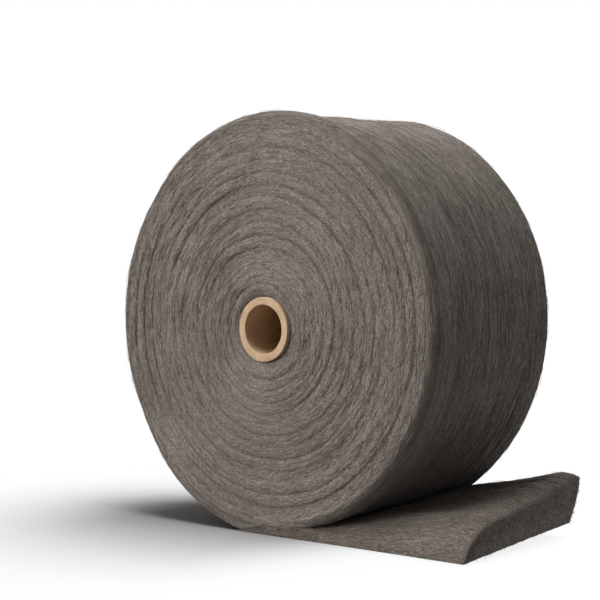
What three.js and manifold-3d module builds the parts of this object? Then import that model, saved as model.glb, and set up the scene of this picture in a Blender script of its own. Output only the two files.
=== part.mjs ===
// A roll of steel wool: one long ribbon wound on a cardboard tube, lying on its tread with its free end on
// the floor. Millimetres, +Z up. The origin is on the floor straight below the tube, at the middle of the
// ribbon's width. The tube lies along Y. The front of the roll faces -Y, and the free end points to +X.
import * as THREE from "three";
import { mergeVertices } from "three/addons/utils/BufferGeometryUtils.js";
import Module from "manifold-3d";

// Cardboard tube
const CORE_BORE = 25;
const CORE_WALL = 4;
const CORE_PROUD = 0.5; // each end of the tube stands this far past the wool
const CORE_RIM_BREAK = 0.4; // broken edge round the cut ends of the tube
const CORE_FIT = 0.3; // clearance between the tube and the first turn

// Winding
const RIBBON_WIDTH = 97;
const TURN_PITCH = 6; // thickness of one turn of ribbon as it is wound
const TURNS = 15.5;
const CORE_SAG = 3.6; // how much lower the tube sits than the centre of the outermost turn
const CORE_SHIFT = 1.9; // how far the outermost turn lies off the tube, towards the free end
const FLAT_DEPTH = 2.2; // how far the roll's weight presses the outermost turn flat on the floor
const SHOULDER_RADIUS = 5; // soft edge between the end faces and the tread
const GROOVE_WIDTH = 2.8; // mouth of the groove between neighbouring turns, on both end faces
const GROOVE_DEPTH = 1.6;
const FIRST_TURN_BARE = 0.5; // the groove stops this many turns short of the tube

// Free end of the ribbon
const TAIL_LENGTH = 124.5; // from below the tube to the near corner of the cut
const TAIL_CUT_SKEW = 4.5; // how much shorter the far side is cut
const TAIL_CUT_LEAN = 6.5; // how far the top of the cut leans out past its foot
const TAIL_END_THICKNESS = 24.5; // the wool fluffs up where no turn presses on it
const TAIL_NEAR_ROUND = 34; // how far in the near side of the free end stays rounded
const TAIL_FAR_ROUND = 6;
const TAIL_SIDE_STEP = 0.1; // upright share of its sides, below the round
const TAIL_CLING_LENGTH = 64; // as far as this the free end still clings to the roll
const TAIL_CLING_SHARE = 0.5; // share of its growth in thickness that the clinging length takes
const TAIL_RISE_START = 40; // from here the other share is taken evenly
const TAIL_CURL = 8.5; // how high the far corner of the cut end lifts off the floor
const TAIL_CURL_START = 30; // where the curl begins

// Facets
const OUTLINE_STEPS = 72;
const GROOVE_STEPS_PER_TURN = 32;
const SHOULDER_STEPS = 4;
const TAIL_STEPS = 16;
const ROUND_STEPS = 48;
const MERGE_DISTANCE = 1e-3;
const CUT_CLEARANCE = 1; // cutting shapes reach this far past the faces they cut

const FULL_TURN = 2 * Math.PI;

// Sizes that follow from those above
const halfWidth = RIBBON_WIDTH / 2;
const coreRadius = CORE_BORE / 2 + CORE_WALL;
const woolBoreRadius = coreRadius + CORE_FIT;
const outerRadius = woolBoreRadius + TURNS * TURN_PITCH;
const outerCentreX = TURN_PITCH / 4 + CORE_SHIFT;
const outerCentreZ = outerRadius - FLAT_DEPTH;
const coreZ = outerCentreZ - CORE_SAG;
const tailRootThickness = TURN_PITCH - FLAT_DEPTH;
const flatHalfLength = Math.sqrt(2 * outerRadius * FLAT_DEPTH);
const flatStartX = outerCentreX - flatHalfLength;

const wasm = await Module();
wasm.setup();

// A closed geometry as a solid that can be joined and cut.
function solidOf(geometry) {
  const bare = geometry.clone();
  bare.deleteAttribute("normal");
  bare.deleteAttribute("uv");
  const merged = mergeVertices(bare, MERGE_DISTANCE);
  const mesh = new wasm.Mesh({
    numProp: 3,
    vertProperties: merged.attributes.position.array,
    triVerts: new Uint32Array(merged.index.array),
  });
  return new wasm.Manifold(mesh);
}

// A joined or cut solid back as a geometry.
function geometryOf(solid) {
  const mesh = solid.getMesh();
  const geometry = new THREE.BufferGeometry();
  geometry.setAttribute("position", new THREE.BufferAttribute(mesh.vertProperties, mesh.numProp));
  geometry.setIndex(new THREE.BufferAttribute(mesh.triVerts, 1));
  geometry.computeVertexNormals();
  return geometry;
}

// A point on the line between two turns, in the plane across the tube, counted in turns from the outside.
// Turn 0 is under the roll. The line climbs the -X side, passes over the top, and works inwards to the
// tube, whose own weight has pressed the turns below it closer together than those above. The
// outermost turn loses half the pitch between its -X and its +X side, so a quarter of the pitch would centre
// it over the tube.
function windingPoint(turn) {
  const inwards = turn / TURNS;
  const angle = turn * FULL_TURN;
  const radius = outerRadius - turn * TURN_PITCH;
  const centreX = (1 - inwards) * outerCentreX;
  const centreZ = outerCentreZ - inwards * CORE_SAG;
  return new THREE.Vector2(centreX - radius * Math.sin(angle), centreZ - radius * Math.cos(angle));
}

// The line between the turns as a curve at one end face, with its steps spread evenly by angle.
class WindingCurve extends THREE.Curve {
  constructor(fromTurn, toTurn, y) {
    super();
    this.fromTurn = fromTurn;
    this.toTurn = toTurn;
    this.y = y;
  }

  getPoint(t, target = new THREE.Vector3()) {
    const point = windingPoint(THREE.MathUtils.lerp(this.fromTurn, this.toTurn, t));
    return target.set(point.x, this.y, point.y);
  }

  getUtoTmapping(u) {
    return u;
  }
}

// The outermost turn all the way round, with soft shoulders. Where it comes back to the flat spot it has
// climbed one turn inwards, and the outline closes along the wedge that the root of the free end fills.
function makeWoundBody() {
  const outline = new THREE.Shape();
  const flatTurn = Math.asin(flatHalfLength / outerRadius) / FULL_TURN;
  outline.moveTo(flatStartX, 0);
  for (let step = 1; step <= OUTLINE_STEPS; step += 1) {
    const point = windingPoint(THREE.MathUtils.lerp(flatTurn, 1, step / OUTLINE_STEPS));
    outline.lineTo(point.x, point.y);
  }
  outline.closePath();
  const geometry = new THREE.ExtrudeGeometry(outline, {
    depth: RIBBON_WIDTH - 2 * SHOULDER_RADIUS,
    bevelThickness: SHOULDER_RADIUS,
    bevelSize: SHOULDER_RADIUS,
    bevelOffset: -SHOULDER_RADIUS,
    bevelSegments: SHOULDER_STEPS,
  });
  geometry.rotateX(Math.PI / 2);
  geometry.translate(0, halfWidth - SHOULDER_RADIUS, 0);
  return solidOf(geometry);
}

// The free end: a batt section drawn out along the floor. It leaves the roll between the shoulders,
// spreads to the ribbon's full width, clings to the roll as it grows thicker, leans out over its cut, and
// curls up at its far corner. The section is drawn at unit thickness.
function makeTail() {
  const section = new THREE.Shape();
  const roundRise = 1 - TAIL_SIDE_STEP;
  const farRoundY = halfWidth - TAIL_FAR_ROUND;
  const nearRoundY = TAIL_NEAR_ROUND - halfWidth;
  section.moveTo(-halfWidth, 0);
  section.lineTo(halfWidth, 0);
  section.lineTo(halfWidth, TAIL_SIDE_STEP);
  section.absellipse(farRoundY, TAIL_SIDE_STEP, TAIL_FAR_ROUND, roundRise, 0, Math.PI / 2);
  section.absellipse(nearRoundY, TAIL_SIDE_STEP, TAIL_NEAR_ROUND, roundRise, Math.PI / 2, Math.PI);
  section.closePath();
  const rootSpread = 1 - SHOULDER_RADIUS / halfWidth;
  const geometry = new THREE.ExtrudeGeometry(section, {
    depth: 1,
    steps: TAIL_STEPS,
    curveSegments: SHOULDER_STEPS,
    bevelEnabled: false,
  });
  const position = geometry.attributes.position;
  for (let index = 0; index < position.count; index += 1) {
    const across = (position.getX(index) + halfWidth) / RIBBON_WIDTH;
    const rise = position.getY(index);
    const cutX = TAIL_LENGTH - TAIL_CUT_SKEW * across;
    const x = THREE.MathUtils.lerp(flatStartX, cutX, position.getZ(index));
    const free = Math.max(0, x / TAIL_LENGTH);
    const spread = THREE.MathUtils.lerp(rootSpread, 1, free);
    const clinging = THREE.MathUtils.smoothstep(x, 0, TAIL_CLING_LENGTH);
    const rising = Math.max(0, (x - TAIL_RISE_START) / (TAIL_LENGTH - TAIL_RISE_START));
    const fluffed = THREE.MathUtils.lerp(rising, clinging, TAIL_CLING_SHARE);
    const thickness = THREE.MathUtils.lerp(tailRootThickness, TAIL_END_THICKNESS, fluffed);
    const along = Math.max(0, (x - TAIL_CURL_START) / (TAIL_LENGTH - TAIL_CURL_START));
    const lean = TAIL_CUT_LEAN * rise * along * along;
    const lift = TAIL_CURL * along * across;
    position.setXYZ(index, x + lean, position.getX(index) * spread, rise * thickness + lift);
  }
  return solidOf(geometry);
}

// The groove between neighbouring turns on one end face: a notch swept along the winding, from where the
// free end leaves the roll to the tube. side is -1 at the front and 1 at the back.
function makeTurnGroove(side) {
  const firstTurn = 1;
  const lastTurn = TURNS - FIRST_TURN_BARE;
  const halfMouth = (GROOVE_WIDTH / 2) * (1 + CUT_CLEARANCE / GROOVE_DEPTH);
  const notch = new THREE.Shape();
  notch.moveTo(side * GROOVE_DEPTH, 0);
  notch.lineTo(-side * CUT_CLEARANCE, halfMouth);
  notch.lineTo(-side * CUT_CLEARANCE, -halfMouth);
  notch.closePath();
  const geometry = new THREE.ExtrudeGeometry(notch, {
    steps: Math.round((lastTurn - firstTurn) * GROOVE_STEPS_PER_TURN),
    bevelEnabled: false,
    extrudePath: new WindingCurve(firstTurn, lastTurn, side * halfWidth),
  });
  return solidOf(geometry);
}

// The hole through the wool that the tube fills.
function makeWoolBore() {
  const length = RIBBON_WIDTH + 2 * CUT_CLEARANCE;
  const geometry = new THREE.CylinderGeometry(woolBoreRadius, woolBoreRadius, length, ROUND_STEPS);
  geometry.translate(0, 0, coreZ);
  return solidOf(geometry);
}

// The ribbon of wool: every turn and the free end are one length, so they are one solid.
function makeWoolRoll() {
  const wound = makeWoundBody().add(makeTail());
  const ribbon = wound.subtract(makeWoolBore()).subtract(makeTurnGroove(-1)).subtract(makeTurnGroove(1));
  const material = new THREE.MeshStandardMaterial({ color: 0x736c66, roughness: 0.7, metalness: 0.5 });
  const mesh = new THREE.Mesh(geometryOf(ribbon), material);
  mesh.name = "wool_roll";
  return mesh;
}

// The cardboard tube, revolved about its own axis, with its cut ends lightly broken.
function makeCoreTube() {
  const bore = CORE_BORE / 2;
  const end = halfWidth + CORE_PROUD;
  const brokenEnd = end - CORE_RIM_BREAK;
  const profile = [
    new THREE.Vector2(bore + CORE_RIM_BREAK, -end),
    new THREE.Vector2(coreRadius - CORE_RIM_BREAK, -end),
    new THREE.Vector2(coreRadius, -brokenEnd),
    new THREE.Vector2(coreRadius, brokenEnd),
    new THREE.Vector2(coreRadius - CORE_RIM_BREAK, end),
    new THREE.Vector2(bore + CORE_RIM_BREAK, end),
    new THREE.Vector2(bore, brokenEnd),
    new THREE.Vector2(bore, -brokenEnd),
    new THREE.Vector2(bore + CORE_RIM_BREAK, -end),
  ];
  const material = new THREE.MeshStandardMaterial({ color: 0xc9a37c, roughness: 0.9, metalness: 0 });
  const mesh = new THREE.Mesh(new THREE.LatheGeometry(profile, ROUND_STEPS), material);
  mesh.name = "core_tube";
  mesh.position.set(0, 0, coreZ);
  return mesh;
}

const steelWoolRoll = new THREE.Group();
steelWoolRoll.add(makeWoolRoll(), makeCoreTube());

export default steelWoolRoll;
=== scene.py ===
import math

import bpy
import numpy as np
from bpy.props import FloatProperty, FloatVectorProperty, IntProperty, PointerProperty
from bpy.types import Operator, Panel, PropertyGroup
from mathutils import Matrix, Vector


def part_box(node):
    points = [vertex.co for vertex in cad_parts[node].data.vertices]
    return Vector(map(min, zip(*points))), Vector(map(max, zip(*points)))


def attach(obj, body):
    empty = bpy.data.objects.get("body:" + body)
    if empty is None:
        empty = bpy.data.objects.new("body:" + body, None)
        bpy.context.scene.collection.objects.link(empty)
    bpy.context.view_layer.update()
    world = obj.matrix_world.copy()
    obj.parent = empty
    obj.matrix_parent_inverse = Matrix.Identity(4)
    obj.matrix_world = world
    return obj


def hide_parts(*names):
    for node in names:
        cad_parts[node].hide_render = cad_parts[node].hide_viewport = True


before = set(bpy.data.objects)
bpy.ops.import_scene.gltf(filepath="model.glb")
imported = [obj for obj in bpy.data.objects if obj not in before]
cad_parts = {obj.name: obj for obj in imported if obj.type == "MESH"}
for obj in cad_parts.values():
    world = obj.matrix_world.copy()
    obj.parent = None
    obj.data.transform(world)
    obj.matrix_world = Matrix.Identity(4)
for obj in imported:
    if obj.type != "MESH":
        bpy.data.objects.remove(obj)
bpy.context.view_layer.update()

bl_info = {
    "name": "Steel Wool Roll",
    "version": (1, 0, 0),
    "blender": (4, 5, 0),
    "location": "3D View > Sidebar > Steel Wool",
    "description": "A ribbon of steel wool wound on a cardboard tube, with its free end laid on the floor",
    "category": "Object",
}

# Boxes of the fixed frame, in metres
WOOL_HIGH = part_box("wool_roll")[1]
CORE_LOW, CORE_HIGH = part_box("core_tube")

FULL_TURN = 2 * math.pi
QUARTER_TURN = math.pi / 2
MM = 0.001
TINY = 1e-9
NUDGE = 1e-6
SIZE_DIGITS = 5
BAKE_MAP = "OFBake"
FACE_CORNERS = ((0, 0), (1, 0), (1, 1), (0, 1))  # corners of a four-sided face, in columns and rows

# Noise table
GRAIN_CELLS = 32
GRAIN_CORNERS = [(i, j, k) for i in (0, 1) for j in (0, 1) for k in (0, 1)]

# Mesh of the wound roll
ROLL_COLUMNS = 380
FACE_ROWS = 88
SHOULDER_ROWS = 7
TREAD_ROWS = 56
BORE_ROWS = 4

# Grooves between the turns and folds within them, in turns unless a length is named
SPIRAL_OFFSET = 0.25  # the outermost turn's centre lies this far off the tube's
GROOVE_SHARE = 0.15
GROOVE_MEAN = 0.52
GROOVE_VARIES = 0.7
FOLD_SHARE = 0.09
FOLD_GAIN = 1.4
# Painted shade in a fold, as a share of the painted shade in a groove
FOLD_SHADE = 0.5
WOBBLE_LENGTHS = (34 * MM, 12 * MM)
WOBBLE_PER_TURN = (0.45, 0.9)
WOBBLE_SHORT_SHARE = 0.4
PATCH_LENGTH = 36 * MM
PATCH_PER_TURN = 1.3
STAND_PER_TURN = 5.0
BACK_SHIFT = 11.0  # the back face draws its noise from another part of the table
PRESSED_TURNS = 0.33  # share of a groove that is left above and below the tube
LOOSE_TURNS = 0.7  # share of a groove that is left beside the tube
LOOSE_ANGLE = 0.8  # sine of the angle at which the turns lie fully loose
EDGE_GROOVE = 0.4  # share of a groove that is left at the shoulders
EDGE_TURNS = 1.8

# Shape of the roll's surface
LUMP_LENGTH = 30 * MM
RIDGE_LENGTH = 55 * MM
RIDGE_WIDTHS = (6 * MM, 2.4 * MM)
RIDGE_SHARES = (0.6, 0.4)
FACE_RIDGES = 0.29  # share of the ridges that shows on the end faces
WAIST_POWER = 5
TREAD_STRETCH = 0.4
TREAD_STREAK = 0.9  # how much painted shade darkens the hollows between the ridges on the tread
PRESS_ANGLE = 0.16  # sine of the angle within which the shoulders are pressed square on the free end
PRESS_FADE = 0.18
FLAT_SOFT = 1.8 * MM  # how softly the flat spot on the floor begins
SINK_HEIGHT = 40 * MM  # below this height the roll settles onto its flat spot
BORE_ROLL_IN = 0.9 * MM
BORE_ROLL_LENGTH = 2.2 * MM

# Mesh of the free end
TAIL_COLUMNS = 84
TAIL_ROWS = 72
TAIL_LAYERS = 10
TAIL_FIELDS = (  # the bake map's fields for the top, bottom, cut, root, far side and near side
    ((0.0, 0.55), (1.0, 1.0)),
    ((0.0, 0.25), (0.48, 0.53)),
    ((0.52, 0.25), (1.0, 0.53)),
    ((0.0, 0.02), (0.23, 0.22)),
    ((0.27, 0.02), (0.48, 0.22)),
    ((0.52, 0.02), (1.0, 0.22)),
)

# Shape and shade of the free end
SQUARE_END = 5 * MM  # distance along at which its square sides start to become round
SQUARE_FADE = 40 * MM
CLING_SHARE = 0.5  # share of the rise in which the free end still clings to the roll
CLING_END = 64 * MM
RISE_START = 40 * MM
ROOT_EDGE = 0.06
SIDE_STEP = 0.04
TOP_SLOPE = 0.64  # height of the top over the near side, as a share of its height at the far side
BLUNT_SHARE = 0.64  # share of the near rounding that is lost towards the cut
BLUNT_LENGTH = 50 * MM
CUT_ROUNDS = 0.14  # share of the thickness that the rounding of the cut takes off
CUT_LUMP = 2 * MM
CUT_ROUGH = 0.3 * MM
# Painted shade on the cut end and its frayed strands
CUT_SHADE = 0.75
CUT_EDGE = 0.4  # share of the height over which the cut's painted shade grows from its top
TAIL_STRETCH = 0.4
TAIL_SHADE = 0.58  # painted shade over the whole loose top, for the shade between its fibres
CREASE_START = 55 * MM  # from here, away from the crease under the roll, the top's painted shade fades to TAIL_SHADE
CREASE_LENGTH = 45 * MM

# Strands
STRAND_POINTS = 4
STRAND_CORNERS = 3
STRAND_TIP = 0.45
CAP_INSET = 0.1
CELL_MARGIN = 0.12
THICKNESS_RANGE = (0.65, 1.5)
WAVES_RANGE = (0.4, 0.9)
WAVE_RANGE = (0.3, 1.0)
BED_RANGE = (-0.6, 1.0)
FUZZ_RANGE = (0.3, 1.0)
FUZZ_BEND = 1.6
BORE_MARGIN = 1.2 * MM
EDGE_MARGIN = 2.0 * MM
START_MARGIN = 0.12  # in turns, as are the next two
OUTER_MARGIN = 0.05
INNER_MARGIN = 0.08
LONGEST_ARC = 1.1
TREAD_MARGIN = 1.0 * MM
TREAD_STRANDS_STRETCH = 2.4
FLAT_MARGIN = 0.1  # angle that stays free of strands before the flat spot
TAIL_FROM = 0.012
TAIL_SIDE_MARGIN = 0.004
CUT_SCATTER = (-2 * MM, 0.6 * MM)
CUT_CREEP = 0.1 * MM
FRAY_STEPS = (-0.5, 1.0)
FRAY_REACH = (0.3 * MM, 1.1 * MM)
FRAY_SPREAD = (0.5, 0.9)
FRAY_BEND = 0.5
FRAY_CLEAR = 0.2 * MM
FRAY_NORMAL = (0.0, 0.3, 0.95)

# Mesh of the cardboard tube
CORE_COLUMNS = 128
CORE_END_ROWS = 28
CORE_BORE_ROWS = 60
CORE_OUTER_ROWS = 8
RIM_TURNS = (0.5, 1.05)
ON_END, ON_OUTSIDE, IN_BORE = 1.0, 0.0, -1.0
PLY_LINE = 0.16
PLY_SHARES = (0.6, 0.4)
TORN_LENGTH = 2.5 * MM
TORN_DEPTH = 0.08 * MM
TORN_ALONG = 4 * MM
SEAM_WIDTH = 0.012
# Depth into the bore over which the board's painted shade grows
BORE_SHADE_DEPTH = 28 * MM

# Finish of the wool: how fine its strands are drawn, per metre along, across and through the ribbon
HAIR_LAY = (480.0, 480.0, 1400.0)
FLECK_LAY = (1150.0, 1150.0, 1900.0)
FLECK_SHARE = 0.64
FLECK_DETAIL = 0.0
LIGHT_FIBRE_LAY = (190.0, 190.0, 800.0)
DARK_FIBRE_LAY = (215.0, 215.0, 900.0)
FIBRE_WIDTH = 0.07
FIBRE_SHARE = 0.15
FIBRE_WANDER = 0.6 * MM
FIBRE_WANDER_SCALE = 480.0
TONE_RANGE = (0.29, 0.71)
NOISE_RANGE = (0.3, 0.7)
PATCH_DETAIL = 2.0
PATCH_SCALE = 26.0
PATCH_TONE = (0.91, 1.08)
# Painted shade along the groove and fold lines: how they sway, how wide they are, and how dark a fold is
# against a groove
SWAY_SCALE = 260.0
SWAY_ROUGH = 0.6
SWAY = 0.16
LINE_WIDTH = 0.11
FOLD_WIDTH = 0.09
FOLD_TINT = 0.6
WOOL_ROUGH = (0.82, 0.66)
WOOL_SHEEN = 0.1
WOOL_SHEEN_ROUGH = 0.4
WOOL_SPECULAR = 0.25
WOOL_BUMP = 0.6
WOOL_BUMP_HEIGHT = 0.5 * MM

# Finish of the board
PAPER_DETAIL = 3.0
PAPER_SCALE = 1500.0
PAPER_NOISE_ROUGH = 0.6
CLOUD_SCALE = 120.0
CLOUD_NOISE_ROUGH = 0.55
BOARD_TONE = (0.3, 0.62)
PLY_TINT = 0.45
BOARD_ROUGH = (0.94, 0.82)
BOARD_BUMP = 0.25
BOARD_BUMP_HEIGHT = 0.2 * MM

# Stage: lamps as width and place, and how the floor fades to white, in metres
KEY_LAMP = (1.0, (-0.95, -1.3, 0.85))
TOP_LAMP = (0.9, (-0.2, -0.05, 1.4))
FLOOR_LAMP = (1.5, (0.55, 0.33, 1.1))
LAMP_TARGET = (0.0, 0.0, 0.1)
FLOOR_HALF = 8.0
FLOOR_SINK = 0.2 * MM
FLOOR_FADE = (0.09, 0.26)
FRONT_FADE = (0.0, 0.09)
FRONT_WHITE = 0.85
WHITE = (1.0, 1.0, 1.0, 1.0)
SENSOR_WIDTH = 36.0

# Seeds
SEED_WOBBLE, SEED_GROOVE, SEED_FOLD, SEED_STAND, SEED_LUMPS, SEED_RIDGES = 40, 42, 43, 44, 45, 46
SEED_TAIL_LUMPS, SEED_TAIL_RIDGES = 48, 49
SEED_FRONT, SEED_BACK, SEED_TREAD, SEED_TAIL, SEED_FRAY, SEED_CORE = range(101, 107)


def length(name, description, default):
    """A size in metres that a user can change."""
    return FloatProperty(
        name=name, description=description, default=default, unit="LENGTH", precision=SIZE_DIGITS
    )


def share(name, description, default):
    """A part of a whole, from 0 to 1."""
    return FloatProperty(
        name=name, description=description, default=default, min=0.0, max=1.0, subtype="FACTOR"
    )


def angle_of(name, description, default):
    """An angle that a user can change."""
    return FloatProperty(name=name, description=description, default=default, subtype="ANGLE")


def power(name, description, default):
    """The power of a lamp."""
    return FloatProperty(name=name, description=description, default=default, unit="POWER")


def number(name, description, default):
    """How many there are of a thing."""
    return IntProperty(name=name, description=description, default=default, min=1)


def tint(name, description, default):
    """A colour that a user can change."""
    return FloatVectorProperty(
        name=name, description=description, default=default, size=3, subtype="COLOR", min=0.0, max=1.0
    )


class WindingSizes(PropertyGroup):
    """Sizes of the wound ribbon."""

    turn_pitch: length("Turn pitch", "Thickness of one turn of ribbon as it is wound", 0.006)
    turns: FloatProperty(name="Turns", description="Turns of ribbon on the tube", default=15.5, min=1.0)
    core_fit: length("Core fit", "Clearance between the tube and the first turn", 0.0003)
    core_sag: length("Core sag", "How much lower the tube sits than the outermost turn's centre", 0.0036)
    core_shift: length("Core shift", "How far the outermost turn lies off, towards the free end", 0.0019)
    flat_depth: length("Flat depth", "How far the outermost turn is pressed flat on the floor", 0.0022)
    shoulder: length("Shoulder", "Soft edge between the end faces and the tread", 0.0052)
    groove_depth: length("Groove depth", "Depth of the deepest grooves between turns", 0.0009)
    crease_depth: length("Crease depth", "Depth of the folds within a turn", 0.0004)
    wobble: share("Groove wobble", "How far a groove wanders from its even line, in turns", 0.16)
    stand: length("Standing turns", "How far single turns stand out of the end face", 0.0005)
    lumps: length("Lumps", "Height of the broad lumps in the wool", 0.0009)
    ridges: length("Ridges", "Height of the ridges along the ribbon", 0.0007)
    waist: length("Waist", "How far the tread is drawn in between its shoulders", 0.0016)


class FreeEndSizes(PropertyGroup):
    """Sizes of the ribbon's free end."""

    reach: length("Reach", "From below the tube to the near corner of the cut", 0.1245)
    cut_skew: length("Cut skew", "How much shorter the far side is cut", 0.0045)
    end_thickness: length("End thickness", "Height of the wool at the far side of the cut", 0.0286)
    near_round: length("Near round", "How far in the near side stays rounded", 0.034)
    far_round: length("Far round", "How far in the far side stays rounded", 0.004)
    cut_lean: length("Cut lean", "How far the top of the cut leans out past its foot", 0.0085)
    cut_round: length("Cut round", "How far back the cut's top edge is rounded", 0.012)
    curl: length("Curl", "How high the far corner of the cut lifts off the floor", 0.0074)
    curl_start: length("Curl start", "Where the curl begins", 0.030)
    lumps: length("Lumps", "Height of the broad lumps in the wool", 0.0012)
    ridges: length("Ridges", "Height of the ridges along the ribbon", 0.0007)
    cut_bulge: length("Cut bulge", "How far the middle of the cut bulges out", 0.0032)


class StrandSizes(PropertyGroup):
    """Sizes and numbers of the loose strands."""

    thickness: length("Thickness", "Thickness of a middling strand", 0.00013)
    short: length("Shortest", "Length of the shortest strands", 0.003)
    long: length("Longest", "Length of the longest strands", 0.011)
    wave: length("Wave", "How far a strand waves from side to side", 0.0005)
    drift: angle_of("Drift", "How far a strand turns from the ribbon's run", 0.2)
    bed: length("Bed", "How high most strands lie above the wool", 0.00006)
    fuzz: length("Fuzz", "How high the stray strands stand", 0.0013)
    stray: share("Stray share", "Share of the strands that stand up", 0.15)
    front_count: number("Front strands", "Strands on the front face", 9800)
    back_count: number("Back strands", "Strands on the back face", 8000)
    tread_count: number("Tread strands", "Strands on the tread", 9800)
    tail_count: number("Free end strands", "Strands on the free end", 5000)
    fray_count: number("Frayed strands", "Strand ends that stand out of the cut", 2000)


class CoreSizes(PropertyGroup):
    """Sizes of the cardboard tube."""

    wall: length("Wall", "Thickness of the board", 0.004)
    rim_break: length("Rim break", "Broken edge round the cut ends", 0.0004)
    plies: number("Plies", "Layers of paper in the wall", 7)
    ply_depth: length("Ply depth", "Depth of the lines between plies on the cut ends", 0.00012)
    seam_pitch: length("Seam pitch", "Advance of the spiral paper seam in one turn", 0.046)
    seam_depth: length("Seam depth", "Depth of the spiral seam", 0.00018)


class Finishes(PropertyGroup):
    """Colours of the wool and the board."""

    wool_dark: tint("Wool, dark strands", "Colour of the darkest strands", (0.097, 0.081, 0.068))
    wool_light: tint("Wool, light strands", "Colour of the lightest strands", (0.251, 0.215, 0.185))
    # What painted shade multiplies the wool's colour by
    groove_shade_tint: tint("Wool, grooves", "What a groove multiplies the colour by", (0.58, 0.56, 0.54))
    wool_metal: share("Wool metal", "How metallic the strands shine", 0.25)
    board_light: tint("Board, light", "Colour of the pale paper fibres", (0.65, 0.455, 0.29))
    board_dark: tint("Board, dark", "Colour of the dark paper fibres", (0.36, 0.235, 0.135))
    # What painted shade deep in the bore multiplies the board's colour by
    bore_shade_tint: tint("Board, bore", "What the bore's depth multiplies the colour by", (0.62, 0.57, 0.5))


class StageSizes(PropertyGroup):
    """Camera, floor and lamps."""

    camera_place: FloatVectorProperty(
        name="Camera place", description="Where the camera stands", default=(0.58247, -0.67888, 0.14736),
        size=3, subtype="TRANSLATION", unit="LENGTH",
    )
    camera_turn: angle_of("Camera turn", "Compass angle of the view", math.radians(41.51))
    camera_tilt: angle_of("Camera tilt", "How far the view looks down", math.radians(1.9))
    lens: FloatProperty(name="Lens", description="Focal length in millimetres", default=102.0)
    key_power: power("Key lamp", "Power of the large front lamp", 36.0)
    top_power: power("Top lamp", "Power of the lamp above", 18.0)
    floor_power: power("Floor lamp", "Power of the lamp that lights only the floor", 30.0)
    sky: FloatProperty(name="Sky", description="Strength of the even light all round", default=0.1)
    floor_tint: tint("Floor", "Colour of the floor", (0.9, 0.9, 0.9))
    floor_bounce: tint("Floor bounce", "Colour of the light that the floor throws back", (0.2, 0.2, 0.2))


def smooth(value):
    """Eases a value between 0 and 1 at both ends."""
    held = np.clip(value, 0.0, 1.0)
    return held * held * (3.0 - 2.0 * held)


def mix(low, high, part):
    """A value that lies part of the way from low to high."""
    return low + (high - low) * part


def hump(value, width):
    """A soft hump that is 1 at a value of 0 and dies away over a width."""
    return np.exp(-((value / width) ** 2))


GRAIN_TABLES = {}


def grain(seed, x, y, z):
    """Smooth noise between -1 and 1 at points in space, the same on every run."""
    if seed not in GRAIN_TABLES:
        GRAIN_TABLES[seed] = np.random.default_rng(seed).uniform(-1.0, 1.0, (GRAIN_CELLS,) * 3)
    table = GRAIN_TABLES[seed]
    cells = np.stack(np.broadcast_arrays(x, y, z), -1).astype(float)
    low = np.floor(cells)
    weight = smooth(cells - low)
    low = low.astype(int)
    total = np.zeros(cells.shape[:-1])
    for corner in GRAIN_CORNERS:
        index = (low + corner) % GRAIN_CELLS
        part = np.prod(np.where(np.array(corner) == 1, weight, 1.0 - weight), -1)
        total += part * table[index[..., 0], index[..., 1], index[..., 2]]
    return total


def ridge_grain(seed, x, run, z):
    """Noise of the broad and narrow ridges along the ribbon."""
    return sum(
        part * grain(seed + order, x / RIDGE_LENGTH, run / width, z / RIDGE_LENGTH)
        for order, (width, part) in enumerate(zip(RIDGE_WIDTHS, RIDGE_SHARES))
    )


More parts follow.
